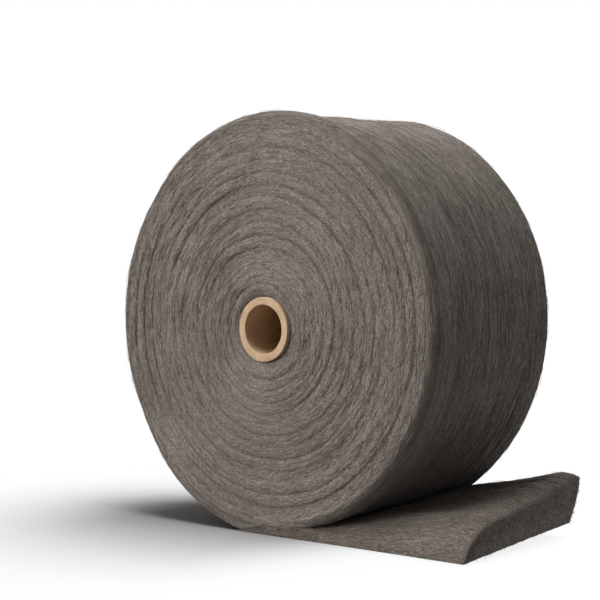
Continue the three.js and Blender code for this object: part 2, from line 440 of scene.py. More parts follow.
class Winding:
    """The wound surface. A point is named by its angle round the tube, clockwise from the floor as seen from
    the front, and by its distance across the ribbon from the middle of the tread, over a shoulder and on
    along an end face."""

    def __init__(self, scene):
        sizes = scene.wool_winding
        self.sizes = sizes
        self.pitch = sizes.turn_pitch
        self.turns = sizes.turns
        self.shoulder = sizes.shoulder
        self.half_width = WOOL_HIGH[1]
        self.bore = CORE_HIGH[0] + sizes.core_fit
        self.outer_radius = self.bore + self.turns * self.pitch
        self.outer_x = self.pitch * SPIRAL_OFFSET + sizes.core_shift
        self.outer_z = self.outer_radius - sizes.flat_depth
        self.tread_half = self.half_width - self.shoulder
        self.face_start = self.tread_half + self.shoulder * QUARTER_TURN
        self.flat_half = math.sqrt(2 * self.outer_radius * sizes.flat_depth)
        self.flat_angle = math.asin(self.flat_half / self.outer_radius)
        self.lowest = self.pressed(-sizes.flat_depth)

    def outer_turn(self, angle):
        """The turn that lies outermost at an angle. Below the roll it steps back over the free end's root."""
        turned = np.mod(angle, FULL_TURN)
        step = mix(1.0, self.flat_angle / FULL_TURN, smooth(turned / self.flat_angle))
        return np.where(turned < self.flat_angle, step, turned / FULL_TURN)

    def bend(self, across):
        """How far the surface has turned from the tread to an end face, as an angle."""
        return np.clip((np.abs(across) - self.tread_half) / self.shoulder, 0.0, QUARTER_TURN)

    def facing(self, across):
        """How much of a point belongs to an end face: 0 on the tread and 1 on the face."""
        return smooth(self.bend(across) / QUARTER_TURN)

    def turn(self, angle, across):
        """Turns counted inwards from the outside."""
        rounded = self.shoulder * (1.0 - np.cos(self.bend(across)))
        inset = rounded + np.maximum(0.0, np.abs(across) - self.face_start)
        return self.outer_turn(angle) + inset / self.pitch

    def across_of(self, angle, turn):
        """Distance across the ribbon at which a turn meets an end face."""
        inset = np.maximum(0.0, (turn - self.outer_turn(angle)) * self.pitch)
        rounded = self.tread_half + self.shoulder * np.arccos(1.0 - np.minimum(inset / self.shoulder, 1.0))
        return np.where(inset < self.shoulder, rounded, self.face_start + inset - self.shoulder)

    def pressed(self, z):
        """Heights of the even surface, bent softly where they would reach below the floor."""
        return 0.5 * (z + np.sqrt(z**2 + (2.0 * FLAT_SOFT) ** 2))

    def place(self, angle, across, lift=0.0):
        """Points in space, lifted square off the surface and kept above the floor."""
        bend = self.bend(across)
        turn = self.turn(angle, across)
        inwards = turn / self.turns
        radius = self.outer_radius - turn * self.pitch + np.cos(bend) * lift
        width = np.minimum(np.abs(across), self.tread_half) + np.sin(bend) * (self.shoulder + lift)
        x = (1.0 - inwards) * self.outer_x - radius * np.sin(angle)
        z = self.outer_z - inwards * self.sizes.core_sag - radius * np.cos(angle)
        y = np.sign(across) * width
        sunk = self.lowest * (1.0 - smooth(z / SINK_HEIGHT))
        return np.stack(np.broadcast_arrays(x, y, self.pressed(z) - sunk), -1)

    def run(self, angle, across):
        """Distance across the strands, without a step anywhere on the roll."""
        slant = np.clip(across / self.tread_half, -1.0, 1.0)
        return across + slant * self.outer_turn(angle) * self.pitch

    def lay(self, points, angle, across):
        """Where the finish draws its strands, which run longer on the tread than on the end faces."""
        stretch = mix(TREAD_STRETCH, 1.0, self.facing(across))
        return np.stack([points[..., 0] * stretch, points[..., 2] * stretch, self.run(angle, across)], -1)

    def looseness(self, angle, turn):
        """How open the grooves lie: pressed above and below the tube and at the shoulders."""
        loose = mix(PRESSED_TURNS, LOOSE_TURNS, smooth(np.abs(np.sin(angle)) / LOOSE_ANGLE))
        return loose * mix(EDGE_GROOVE, 1.0, smooth((turn - self.outer_turn(angle)) / EDGE_TURNS))

    def relief(self, angle, across):
        """How far the wool stands off its even surface; painted shade from 0 to 1, deepest in a groove, less
        in a fold and in the hollows between the tread's ridges; and the place and strength of the lines
        between and within the turns, along which the finish paints more shade."""
        sizes = self.sizes
        x, y, z = np.moveaxis(self.place(angle, across), -1, 0)
        turn = self.turn(angle, across)
        side = np.where(across > 0, BACK_SHIFT, 0.0)
        facing = self.facing(across)
        long_wave, short_wave = (
            grain(SEED_WOBBLE + order, x / reach, z / reach, turn * per_turn + side)
            for order, (reach, per_turn) in enumerate(zip(WOBBLE_LENGTHS, WOBBLE_PER_TURN))
        )
        layer = turn - angle / FULL_TURN + sizes.wobble * (long_wave + WOBBLE_SHORT_SHARE * short_wave)
        gap = np.abs(layer - np.round(layer))
        groove_patch, fold_patch = (
            grain(seed, x / PATCH_LENGTH, z / PATCH_LENGTH, turn * PATCH_PER_TURN + side)
            for seed in (SEED_GROOVE, SEED_FOLD)
        )
        loose = self.looseness(angle, turn)
        open_groove = loose * np.clip(GROOVE_MEAN + GROOVE_VARIES * groove_patch, 0.0, 1.0)
        open_fold = loose * np.clip(FOLD_GAIN * fold_patch, 0.0, 1.0)
        groove = hump(gap, GROOVE_SHARE) * open_groove
        fold = hump(0.5 - gap, FOLD_SHARE) * open_fold
        ribbon = np.floor(layer) + angle / FULL_TURN
        stand = grain(SEED_STAND, ribbon * STAND_PER_TURN, side, 0.0) * smooth(gap / GROOVE_SHARE)
        lumps = grain(SEED_LUMPS, x / LUMP_LENGTH, y / LUMP_LENGTH, z / LUMP_LENGTH)
        ridges = ridge_grain(SEED_RIDGES, x, self.run(angle, across), z)
        to_bore = np.maximum(0.0, (self.turns - turn) * self.pitch)
        roll_in = BORE_ROLL_IN * hump(to_bore, BORE_ROLL_LENGTH)
        waist = sizes.waist * (1.0 - np.minimum(1.0, np.abs(y / self.tread_half) ** WAIST_POWER))
        face_lift = sizes.stand * stand - sizes.groove_depth * groove - sizes.crease_depth * fold - roll_in
        lift = facing * face_lift - (1.0 - facing) * waist + sizes.lumps * lumps
        under = (1.0 - smooth((np.abs(np.sin(angle)) - PRESS_ANGLE) / PRESS_FADE)) * (np.cos(angle) > 0.0)
        bend = self.bend(across)
        lift += under * self.shoulder * (1.0 / np.maximum(np.cos(bend), np.sin(bend)) - 1.0)
        lift += sizes.ridges * mix(1.0, FACE_RIDGES, facing) * ridges
        # The lines tell the finish where to paint shade along the grooves and folds
        lines = np.stack([layer, facing * open_groove, facing * open_fold], -1)
        # Painted shade in the hollows between the tread's ridges
        hollow_shade = (1.0 - facing) * np.clip(-TREAD_STREAK * ridges, 0.0, 1.0)
        # The second value is painted shade in the grooves and folds, and in the tread's hollows
        return lift, facing * np.maximum(groove, FOLD_SHADE * fold) + hollow_shade, lines


class FreeEnd:
    """The ribbon's free end on the floor. A point is named by its distance along, its share of the way across
    from the near side, and its share of the height up to the top."""

    def __init__(self, scene):
        winding = Winding(scene)
        self.sizes = scene.wool_free_end
        self.width = 2.0 * winding.half_width
        self.root_x = winding.outer_x - winding.flat_half
        self.root_length = winding.flat_half
        self.root_thickness = winding.pitch - winding.sizes.flat_depth

    def cut_x(self, across):
        """Where the ribbon is cut, which is a little shorter on the far side."""
        return self.sizes.reach - self.sizes.cut_skew * across

    def thickness(self, x):
        """Thickness at the far side: the free end clings to the roll at first, and then rises evenly."""
        wedge = mix(ROOT_EDGE, 1.0, smooth((x - self.root_x) / self.root_length))
        rise = np.clip((x - RISE_START) / (self.sizes.reach - RISE_START), 0.0, 1.0)
        grown = mix(rise, smooth(x / CLING_END), CLING_SHARE)
        return self.root_thickness * wedge + (self.sizes.end_thickness - self.root_thickness) * grown

    def slope(self, across):
        """Height of the top between its rounded sides, as a share of the thickness."""
        return mix(TOP_SLOPE, 1.0, across)

    def top(self, x, across):
        """Height of the top as a share of the thickness. Its sides are square under the roll."""
        sizes = self.sizes
        grown = self.thickness(x) / sizes.end_thickness
        blunt = 1.0 - BLUNT_SHARE * smooth(1.0 - (self.cut_x(across) - x) / BLUNT_LENGTH)
        near = np.clip(across * self.width / (sizes.near_round * grown * blunt), 0.0, 1.0)
        far = np.clip((1.0 - across) * self.width / (sizes.far_round * grown), 0.0, 1.0)
        bend = np.sqrt((1.0 - (1.0 - near) ** 2) * (1.0 - (1.0 - far) ** 2))
        rounded = mix(SIDE_STEP, 1.0, bend * self.slope(across))
        return mix(1.0, rounded, smooth((x - SQUARE_END) / SQUARE_FADE))

    def place(self, x, across, up, lift=0.0):
        """Points in space, lifted straight up from the even shape."""
        sizes = self.sizes
        along = np.maximum(0.0, (x - sizes.curl_start) / (sizes.reach - sizes.curl_start))
        rise = up * self.top(x, across)
        near_cut = np.clip(1.0 - (self.cut_x(across) - x) / sizes.cut_round, 0.0, 1.0)
        thickness = self.thickness(x) * (1.0 - CUT_ROUNDS * near_cut**2)
        y = (across - 0.5) * self.width
        z = rise * thickness + sizes.curl * along * across + lift
        x = x + sizes.cut_lean * rise * along**2
        return np.stack(np.broadcast_arrays(x, y, np.maximum(z, 0.0)), -1)

    def belly(self, across, up):
        """How far the cut bulges out."""
        return self.sizes.cut_bulge * np.sin(up * math.pi) * np.sqrt(np.sin(across * math.pi))

    def shade(self, x):
        """Painted shade on the top, strongest in the crease under the roll."""
        return mix(1.0, TAIL_SHADE, smooth((x - CREASE_START) / CREASE_LENGTH))

    def relief(self, x, across):
        """How far the wool of the top stands off its even shape."""
        y = across * self.width
        lumps = grain(SEED_TAIL_LUMPS, x / LUMP_LENGTH, y / LUMP_LENGTH, 0.0)
        ridges = ridge_grain(SEED_TAIL_RIDGES, x, y, 0.0)
        shown = smooth((x - self.root_x) / self.root_length - 1.0)
        return shown * (self.sizes.lumps * lumps + self.sizes.ridges * ridges)


def add_piece(scene, name, points, faces, bake, fields, material, node):
    """A closed mesh piece on the roll's one body. faces is a list of arrays of four-sided and three-sided
    faces, and bake is the matching list of their places on the bake map."""
    mesh = bpy.data.meshes.new(name)
    corners = np.concatenate([part.ravel() for part in faces])
    counts = np.concatenate([np.full(len(part), part.shape[1]) for part in faces])
    starts = np.concatenate([[0], np.cumsum(counts)[:-1]])
    spots = np.concatenate([part.reshape(-1, 2) for part in bake])
    mesh.vertices.add(len(points))
    mesh.vertices.foreach_set("co", points.astype(np.float32).ravel())
    mesh.loops.add(len(corners))
    mesh.loops.foreach_set("vertex_index", corners.astype(np.int32))
    mesh.polygons.add(len(counts))
    mesh.polygons.foreach_set("loop_start", starts.astype(np.int32))
    mesh.polygons.foreach_set("use_smooth", np.ones(len(counts), dtype=bool))
    mesh.update(calc_edges=True)
    if mesh.validate():
        raise RuntimeError(f"{name}: the mesh has faces that aren't valid")
    uv = mesh.uv_layers.new(name=BAKE_MAP, do_init=False)
    uv.data.foreach_set("uv", spots.astype(np.float32).ravel())
    for field, values in fields.items():
        kind, key = ("FLOAT_VECTOR", "vector") if values.ndim == 2 else ("FLOAT", "value")
        layer = mesh.attributes.new(field, kind, "POINT" if len(values) == len(points) else "CORNER")
        layer.data.foreach_set(key, values.astype(np.float32).ravel())
    mesh.materials.append(material)
    piece = bpy.data.objects.new(name, mesh)
    scene.collection.objects.link(piece)
    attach(piece, "root")
    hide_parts(node)


def add_wool(scene, name, points, faces, bake, fields):
    """A piece of steel wool."""
    material = finish(scene, "wool_finish", fill_wool)
    add_piece(scene, name, points, faces, bake, fields, material, "wool_roll")


def faces_outwards(points, faces):
    """True if the faces of a closed mesh point outwards."""
    total = 0.0
    for part in faces:
        for last in range(2, part.shape[1]):
            a, b, c = points[part[:, 0]], points[part[:, last - 1]], points[part[:, last]]
            total += np.sum(a * np.cross(b, c))
    return total > 0.0


def turn_out(points, faces, bake):
    """The faces and their bake map, turned round where they point inwards."""
    if faces_outwards(points, faces):
        return faces, bake
    return [part[:, ::-1] for part in faces], [part[:, ::-1] for part in bake]


def grid_spots(columns, rows):
    """Corners of a grid's faces, as shares of its columns and rows."""
    column, row = np.indices((columns, rows))
    corners = [np.stack([(column + i) / columns, (row + j) / rows], -1) for i, j in FACE_CORNERS]
    return np.stack(corners, 2).reshape(-1, len(FACE_CORNERS), 2)


def ring_corners(values):
    """Values at the corners of the faces of a ring, which closes round its columns and round its rows."""
    return np.stack([np.roll(values, (-i, -j), (0, 1)) for i, j in FACE_CORNERS], 2)


def ring_faces(points):
    """Four-sided faces of a ring of points, and their places on the bake map."""
    columns, rows = points.shape[:2]
    index = np.arange(columns * rows).reshape(columns, rows)
    return ring_corners(index).reshape(-1, len(FACE_CORNERS)), grid_spots(columns, rows)


def grid_faces(index):
    """Four-sided faces of a grid of points, which face along its first axis crossed with its second."""
    corners = [index[:-1, :-1], index[1:, :-1], index[1:, 1:], index[:-1, 1:]]
    return np.stack(corners, -1).reshape(-1, len(FACE_CORNERS))


def make_wound_body(scene):
    """Every turn of the ribbon as one closed mesh, over the front face, the tread, the back and the bore."""
    winding = Winding(scene)
    angle = np.arange(ROLL_COLUMNS)[:, None] * (FULL_TURN / ROLL_COLUMNS)
    inner = winding.across_of(angle, np.full_like(angle, winding.turns))
    face = mix(winding.face_start, inner, np.linspace(0.0, 1.0, FACE_ROWS + 1)[1:])
    tread = np.linspace(-winding.tread_half, winding.tread_half, TREAD_ROWS + 1)
    shoulder = np.linspace(winding.tread_half, winding.face_start, SHOULDER_ROWS + 1)[1:]
    middle = np.tile(np.concatenate([-shoulder[::-1], tread, shoulder]), (ROLL_COLUMNS, 1))
    across = np.concatenate([-face[:, ::-1], middle, face], axis=1)
    angles = np.broadcast_to(angle, across.shape)
    lift, groove, lines = winding.relief(angles, across)
    points = winding.place(angles, across, lift)
    bore_share = np.linspace(0.0, 1.0, BORE_ROWS + 2)[1:-1][None, :, None]

    def through_bore(values):
        """Adds the rows that lead from the back face through the bore to the front face."""
        return np.concatenate([values, mix(values[:, -1:], values[:, :1], bore_share)], axis=1)

    lay = through_bore(winding.lay(points, angles, across))
    points = through_bore(points)
    # The rows through the bore carry full painted shade
    groove = np.pad(groove, ((0, 0), (0, BORE_ROWS)), constant_values=1.0)
    seam = ring_corners(np.pad(lines, ((0, 0), (0, BORE_ROWS), (0, 0))))
    seam[-1, :, 1:3, 0] -= 1.0  # a full turn further on, the same line is one layer further out
    quads, bake = ring_faces(points)
    points = points.reshape(-1, 3)
    bake_seam = np.concatenate([bake, seam.reshape(*bake.shape[:2], -1)], -1)
    faces, (bake_seam,) = turn_out(points, [quads], [bake_seam])
    # groove carries painted shade, and seam the lines along which the finish paints shade
    fields = {"lay": lay.reshape(-1, 3), "groove": groove.ravel(), "seam": bake_seam[..., 2:].reshape(-1, 3)}
    add_wool(scene, "wound_wool", points, faces, [bake_seam[..., :2]], fields)


def make_free_end(scene):
    """The free end of the ribbon as a closed mesh, with a soft bulge where it is cut."""
    tail = FreeEnd(scene)
    counts = (TAIL_COLUMNS, TAIL_ROWS, TAIL_LAYERS)
    index = np.full([count + 1 for count in counts], -1)
    steps = np.indices(index.shape)
    skin = np.zeros(index.shape, dtype=bool)
    for step, count in zip(steps, counts):
        skin |= (step == 0) | (step == count)
    index[skin] = np.arange(skin.sum())
    along, across, up = (step[skin] / count for step, count in zip(steps, counts))
    across = 0.5 - 0.5 * np.cos(across * math.pi)  # rows lie closer together towards both sides
    x = mix(tail.root_x, tail.cut_x(across), along)
    points = tail.place(x, across, up, up * tail.relief(x, across))
    cut = along == 1.0
    rough = grain(SEED_FRAY, points[:, 1] / CUT_LUMP, points[:, 2] / CUT_LUMP, 0.0)
    points[:, 0] += cut * (tail.belly(across, up) + CUT_ROUGH * rough)
    grids = [index[:, :, -1], index[:, :, 0].T, index[-1], index[0].T, index[:, -1].T, index[:, 0]]
    faces = np.concatenate([grid_faces(grid) for grid in grids])
    bake = np.concatenate([
        mix(np.array(low), np.array(high), grid_spots(grid.shape[0] - 1, grid.shape[1] - 1))
        for grid, (low, high) in zip(grids, TAIL_FIELDS)
    ])
    faces, bake = turn_out(points, [faces], [bake])
    fall = np.maximum(0.0, tail.thickness(x) * (tail.slope(across) - up * tail.top(x, across)))
    fall *= np.where(across > 0.5, 1.0, -1.0) * ((up == 1.0) | (across == 0.0) | (across == 1.0))
    lay_along = points[:, 0] * TAIL_STRETCH + cut * points[:, 2]
    # Painted shade: the top darkens towards the crease under the roll, and the cut darkens down from its top
    # edge
    fields = {
        "lay": np.stack([lay_along, np.zeros(len(points)), points[:, 1] + fall], -1),
        "groove": np.maximum(tail.shade(x), cut * CUT_SHADE * smooth((1.0 - up) / CUT_EDGE)),
    }
    add_wool(scene, "free_end", points, faces, bake, fields)


def unit(vectors):
    """Vectors of length 1."""
    return vectors / (np.linalg.norm(vectors, axis=-1, keepdims=True) + TINY)


def spin_strands(scene, name, paths, normals, thickness, groove, seed):
    """Loose strands as closed three-sided tubes along paths, which taper at both ends."""
    count, steps = paths.shape[:2]
    tangent = unit(np.gradient(paths, axis=1))
    sideways = unit(np.cross(tangent, normals))
    upright = np.cross(sideways, tangent)
    taper = mix(STRAND_TIP, 1.0, np.sin(np.linspace(0.0, math.pi, steps)))[None, :, None]
    radius = 0.5 * thickness[:, None, None] * taper
    turns = QUARTER_TURN + np.arange(STRAND_CORNERS) * (FULL_TURN / STRAND_CORNERS)
    rings = np.stack(
        [paths + radius * (math.sin(turn) * upright + math.cos(turn) * sideways) for turn in turns], 2
    )
    rings[..., 2] = np.maximum(rings[..., 2], 0.0)
    index = np.arange(count * steps * STRAND_CORNERS).reshape(count, steps, STRAND_CORNERS)
    beside = np.roll(index, -1, axis=2)
    quads = np.stack([index[:, :-1], index[:, 1:], beside[:, 1:], beside[:, :-1]], -1)
    caps = np.concatenate([index[:, 0], index[:, -1, ::-1]])
    cells = math.ceil(math.sqrt(count))
    strand = np.arange(count)
    cell = np.stack([strand % cells, strand // cells], -1)[:, None, None, :]

    def on_map(spots):
        """Faces in each strand's own cell of the bake map."""
        spread = cell + mix(CELL_MARGIN, 1.0 - CELL_MARGIN, spots)
        return (spread / cells).reshape(-1, *spots.shape[-2:])

    near_cap = np.array([[(0.0, 0.0), (CAP_INSET, 0.5), (0.0, 1.0)]])
    far_cap = near_cap * (-1.0, 1.0) + (1.0, 0.0)
    cap_map = np.concatenate([on_map(near_cap), on_map(far_cap)])
    points = rings.reshape(-1, 3)
    quad_map = on_map(grid_spots(steps - 1, STRAND_CORNERS))
    faces, bake = turn_out(points, [quads.reshape(-1, quads.shape[-1]), caps], [quad_map, cap_map])
    tone = np.random.default_rng(seed).uniform(-1.0, 1.0, (count, 1, 1))
    # Each strand carries the painted shade of the wool it lies on
    tone, depth = (np.broadcast_to(values, index.shape).ravel() for values in (tone, groove[:, :, None]))
    fields = {"lay": np.stack([points[:, 0], points[:, 2], tone], -1), "groove": depth}
    add_wool(scene, name, points, faces, bake, fields)


def strand_draws(sizes, rng, count, stretch=1.0):
    """Thickness and length of strands, the steps along each, and how far each step lies across the ribbon and
    above the wool. Stretched strands are longer and straighter."""

    def pick(low=0.0, high=1.0):
        """One drawn number for each strand."""
        return rng.uniform(low, high, (count, 1))

    along = np.linspace(-0.5, 0.5, STRAND_POINTS)[None, :]
    long = stretch * pick(sizes.short, sizes.long)
    drift = rng.normal(0.0, sizes.drift / stretch, (count, 1))
    thickness = sizes.thickness * pick(*THICKNESS_RANGE)[:, 0]
    phase = pick(0.0, FULL_TURN)
    waves = pick(*WAVES_RANGE)
    wave = sizes.wave / stretch * pick(*WAVE_RANGE) * np.sin(phase + waves * FULL_TURN * along)
    bed = sizes.bed * pick(*BED_RANGE)
    bow = sizes.bed * pick() * np.cos(along * math.pi)
    standing = pick() < sizes.stray
    height = sizes.fuzz * pick(*FUZZ_RANGE)
    free = np.where(pick() < 0.5, along + 0.5, 0.5 - along)
    lift = np.where(standing, height * free**FUZZ_BEND, bed + bow)
    return thickness, long, along, along * long * np.tan(drift) + wave, lift


def spin_on_roll(scene, name, winding, angles, across, lift, nudge, thickness, seed):
    """Strands along paths on the roll, lifted off its wool."""
    relief, groove, _ = winding.relief(angles, across)
    paths = winding.place(angles, across, relief + lift)
    normals = winding.place(angles, across, relief + lift + MM) - paths + nudge
    spin_strands(scene, name, paths, normals, thickness, groove, seed)


def make_face_strands(scene, name, side, count, seed):
    """Strands that follow the turns on one end face."""
    winding = Winding(scene)
    rng = np.random.default_rng(seed)
    thickness, long, along, cross, lift = strand_draws(scene.wool_strands, rng, count)
    angle = rng.uniform(0.0, FULL_TURN, (count, 1))
    inner, outer = winding.bore + BORE_MARGIN, winding.outer_radius - EDGE_MARGIN
    radius = np.sqrt(mix(inner**2, outer**2, rng.uniform(0.0, 1.0, (count, 1))))
    turn = (winding.outer_radius - radius) / winding.pitch
    turn = np.maximum(turn, winding.outer_turn(angle) + START_MARGIN)
    arc = along * np.minimum(long / radius, LONGEST_ARC)
    angles = angle + arc
    turns = turn + arc / FULL_TURN + cross / winding.pitch
    turns = np.clip(turns, winding.outer_turn(angles) + OUTER_MARGIN, winding.turns - INNER_MARGIN)
    across = side * winding.across_of(angles, turns)
    spin_on_roll(scene, name, winding, angles, across, lift, (0.0, side * NUDGE, 0.0), thickness, seed)


def make_tread_strands(scene):
    """Strands that run round the tread and over both shoulders."""
    winding = Winding(scene)
    count = scene.wool_strands.tread_count
    rng = np.random.default_rng(SEED_TREAD)
    draws = strand_draws(scene.wool_strands, rng, count, TREAD_STRANDS_STRETCH)
    thickness, long, along, cross, lift = draws
    angle = rng.uniform(winding.flat_angle, FULL_TURN - FLAT_MARGIN, (count, 1))
    reach = winding.face_start - TREAD_MARGIN
    across = rng.uniform(-reach, reach, (count, 1)) + cross
    angles = angle + along * long / winding.outer_radius
    nudge = (0.0, 0.0, NUDGE)
    spin_on_roll(scene, "tread_strands", winding, angles, across, lift, nudge, thickness, SEED_TREAD)


def make_tail_strands(scene):
    """Strands that run along the free end."""
    tail = FreeEnd(scene)
    count = scene.wool_strands.tail_count
    rng = np.random.default_rng(SEED_TAIL)
    thickness, long, along, cross, lift = strand_draws(scene.wool_strands, rng, count)
    across = rng.uniform(0.0, 1.0, (count, 1)) + cross / tail.width
    x = rng.uniform(TAIL_FROM, 1.0, (count, 1)) * tail.sizes.reach + along * long
    across = np.clip(across, TAIL_SIDE_MARGIN, 1.0 - TAIL_SIDE_MARGIN)
    x = np.minimum(x, tail.cut_x(across) + rng.uniform(*CUT_SCATTER, (count, 1)) + CUT_CREEP * along)
    lift = tail.relief(x, across) + lift
    paths = tail.place(x, across, 1.0, lift)
    normals = tail.place(x, across, 1.0, lift + MM) - paths
    # The strands carry the top's painted shade
    spin_strands(scene, "free_end_strands", paths, normals, thickness, tail.shade(x), SEED_TAIL)


def make_cut_strands(scene):
    """Frayed ends that stand out of the free end's cut."""
    tail = FreeEnd(scene)
    count = scene.wool_strands.fray_count
    rng = np.random.default_rng(SEED_FRAY)
    thickness = strand_draws(scene.wool_strands, rng, count)[0]
    across = rng.uniform(0.0, 1.0, (count, 1))
    up = rng.uniform(0.0, 1.0, (count, 1))
    out = np.linspace(*FRAY_STEPS, STRAND_POINTS)[None, :, None]
    root = tail.place(tail.cut_x(across), across, up)
    root[..., 0] += tail.belly(across, up)
    reach = rng.uniform(*FRAY_REACH, (count, 1, 1))
    aim = [np.ones(count)] + [rng.normal(0.0, spread, count) for spread in FRAY_SPREAD]
    bend = [np.zeros(count)] + [rng.normal(0.0, FRAY_BEND, count) for _ in FRAY_SPREAD]
    aim, bend = (np.stack(parts, -1)[:, None, :] for parts in (aim, bend))
    paths = root + reach * (aim * out + bend * out**2)
    paths[..., 2] = np.maximum(paths[..., 2], FRAY_CLEAR)
    normals = np.broadcast_to(np.array(FRAY_NORMAL), paths.shape)
    # The frayed ends carry the cut's painted shade
    groove = np.full(paths.shape[:2], CUT_SHADE)
    spin_strands(scene, "cut_strands", paths, normals, thickness, groove, SEED_FRAY)


def core_profile(sizes):
    """The tube's section as radius, place along the tube and kind of surface, once round its wall."""
    outer, end, edge = CORE_HIGH[0], CORE_HIGH[1], sizes.rim_break
    bore = outer - sizes.wall
    rim = np.linspace(bore + edge, outer - edge, CORE_END_ROWS + 1)

    def broken_edge(radius, inwards, side, turns):
        """The rounded edge between a cut end and a side of the wall."""
        return [
            (radius + inwards * edge * (1 - math.sin(t)), side * (end - edge * (1 - math.cos(t))), ON_OUTSIDE)
            for t in turns
        ]

    profile = [(radius, -end, ON_END) for radius in rim]
    profile += broken_edge(outer, -1, -1, RIM_TURNS)
    profile += [(outer, y, ON_OUTSIDE) for y in np.linspace(edge - end, end - edge, CORE_OUTER_ROWS + 1)]
    profile += broken_edge(outer, -1, 1, RIM_TURNS[::-1])
    profile += [(radius, end, ON_END) for radius in rim[::-1]]
    profile += broken_edge(bore, 1, 1, RIM_TURNS)
    profile += [(bore, y, IN_BORE) for y in np.linspace(end - edge, edge - end, CORE_BORE_ROWS + 1)]
    profile += broken_edge(bore, 1, -1, RIM_TURNS[::-1])
    return (np.array(column)[None, :] for column in zip(*profile))


def make_core_tube(scene):
    """The cardboard tube, revolved, with the lines of its plies on both cut ends and a spiral paper seam."""
    sizes = scene.wool_core
    middle_z = (CORE_LOW[2] + CORE_HIGH[2]) / 2
    radius, y, kind = core_profile(sizes)
    angle = np.arange(CORE_COLUMNS)[:, None] * (FULL_TURN / CORE_COLUMNS)
    cos, sin = np.cos(angle), np.sin(angle)
    ply = (radius - (CORE_HIGH[0] - sizes.wall)) / sizes.wall * sizes.plies
    line = hump(ply - np.round(ply), PLY_LINE) * (kind == ON_END)
    torn = grain(SEED_CORE, radius * cos / TORN_LENGTH, y / TORN_ALONG, radius * sin / TORN_LENGTH)
    depth = line * sizes.ply_depth * (PLY_SHARES[0] + PLY_SHARES[1] * torn)
    depth = depth + (kind == ON_END) * TORN_DEPTH * torn
    seam_place = np.mod(angle / FULL_TURN - y / sizes.seam_pitch, 1.0)
    seam = hump(np.minimum(seam_place, 1.0 - seam_place), SEAM_WIDTH) * (kind == IN_BORE)
    wide = radius + seam * sizes.seam_depth
    points = np.stack([wide * cos, y - np.sign(y) * depth, middle_z + wide * sin], -1)
    quads, bake = ring_faces(points)
    # Painted shade, growing from the ends deeper into the bore
    bore_shade = smooth((CORE_HIGH[1] - np.abs(y)) / BORE_SHADE_DEPTH) * (kind == IN_BORE)
    fields = {"ply": (line + seam).ravel(), "bore_shade": np.broadcast_to(bore_shade, seam.shape).ravel()}
    points = points.reshape(-1, 3)
    faces, bake = turn_out(points, [quads], [bake])
    material = finish(scene, "board_finish", fill_board)
    add_piece(scene, "core_board_tube", points, faces, bake, fields, material, "core_tube")


class NodeBench:
    """A short way to add and link the nodes of one material or world."""

    def __init__(self, tree):
        self.tree = tree
        tree.nodes.clear()

    def add(self, kind, settings=None, **inputs):
        """Adds a node. Inputs are named, or numbered after an underscore, and are values or outputs."""
        node = self.tree.nodes.new(kind)
        for key, value in (settings or {}).items():
            setattr(node, key, value)
        for key, value in inputs.items():
            socket = node.inputs[int(key[1:]) if key[1:].isdigit() else key.replace("_", " ")]
            if isinstance(value, bpy.types.NodeSocket):
                self.tree.links.new(value, socket)
            else:
                socket.default_value = value
        return node

    def attribute(self, name, output="Fac"):
        """A field that a mesh carries."""
        return self.add("ShaderNodeAttribute", {"attribute_name": name}).outputs[output]

    def math(self, operation, first, second=0.0, third=0.0):
        """A sum on one to three values."""
        return self.add("ShaderNodeMath", {"operation": operation}, _0=first, _1=second, _2=third).outputs[0]

    def vector(self, operation, first, second):
        """A sum on two vectors."""
        return self.add("ShaderNodeVectorMath", {"operation": operation}, _0=first, _1=second).outputs[0]

    def blend(self, kind, factor, first, second):
        """Two colours, blended."""
        settings = {"data_type": "RGBA", "blend_type": kind}
        first, second = (
            value if isinstance(value, bpy.types.NodeSocket) else (*value, 1.0) for value in (first, second)
        )
        return self.add("ShaderNodeMix", settings, _0=factor, _6=first, _7=second).outputs[2]

    def range(self, value, low, high, to_low, to_high, ease="LINEAR"):
        """A value carried from one range to another."""
        return self.add(
            "ShaderNodeMapRange", {"interpolation_type": ease},
            Value=value, From_Min=low, From_Max=high, To_Min=to_low, To_Max=to_high,
        ).outputs[0]

    def noise(self, vector, scale=1.0, detail=1.0, rough=0.5):
        """Smooth noise about one half."""
        return self.add(
            "ShaderNodeTexNoise", Vector=vector, Scale=scale, Detail=detail, Roughness=rough
        ).outputs[0]

    def strands(self, lay, fineness, detail=1.0):
        """Noise drawn out along the ribbon."""
        return self.noise(self.vector("MULTIPLY", lay, fineness), detail=detail)

    def threads(self, lay, fineness):
        """Thin lines where drawn-out noise passes its middle value."""
        away = self.math("ABSOLUTE", self.math("SUBTRACT", self.strands(lay, fineness), 0.5))
        return self.range(away, 0.0, FIBRE_WIDTH, 1.0, 0.0)


def finish(scene, name, fill):
    """The material of that name, filled on its first use."""
    material = bpy.data.materials.get(name)
    if material is None:
        material = bpy.data.materials.new(name)
        material.use_nodes = True
        bench = NodeBench(material.node_tree)
        bench.add("ShaderNodeOutputMaterial", Surface=fill(bench, scene).outputs[0])
    return material


